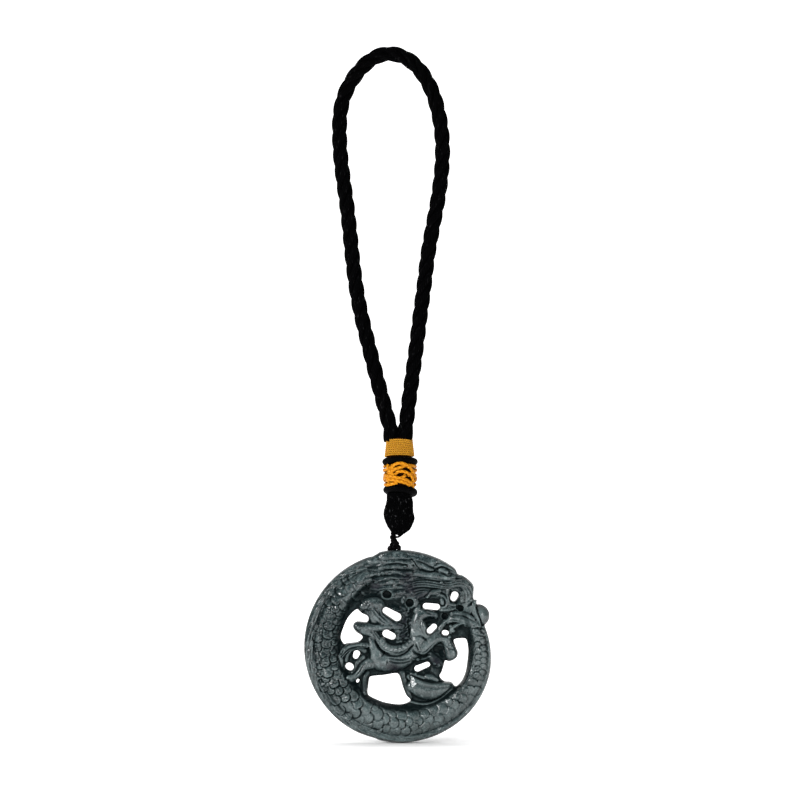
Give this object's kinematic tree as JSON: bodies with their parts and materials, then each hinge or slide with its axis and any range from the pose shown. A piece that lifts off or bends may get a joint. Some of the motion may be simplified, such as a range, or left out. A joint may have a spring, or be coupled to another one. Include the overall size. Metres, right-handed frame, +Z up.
{
  "type": "carved jade pendant on a cord loop",
  "caption": "Round jade pendant, pierced and carved with a dragon, horse, clouds and ingot, hanging from knots and a rope loop.",
  "frame": {"origin": "the point that the loop hangs from, under the inside of the loop's top and over the disc's middle", "axes": "+Z up along the hanging pendant, +Y through the disc from its carved front to its back, +X to the right"},
  "size_m": [0.0566, 0.0108, 0.2095],
  "materials": {
    "jade": "polished, dark grey-green with paler and purple-grey clouding",
    "black_rope": "twisted four-strand rope with a soft sheen",
    "black_cord": "fine twisted cord",
    "black_knit": "tight knitted cord",
    "gold_cord": "smooth golden-orange cord",
    "gold_thread": "twisted metallic thread"
  },
  "bodies": {
    "root": {"jade_disc": "jade", "hanger_cord": "black_cord", "braided_knob": "black_knit", "lower_ring": "black_cord", "gold_knot": "gold_cord", "upper_ring": "black_cord", "gold_wrap": "gold_thread", "loop_cord": "black_rope"}
  },
  "joints": []
}
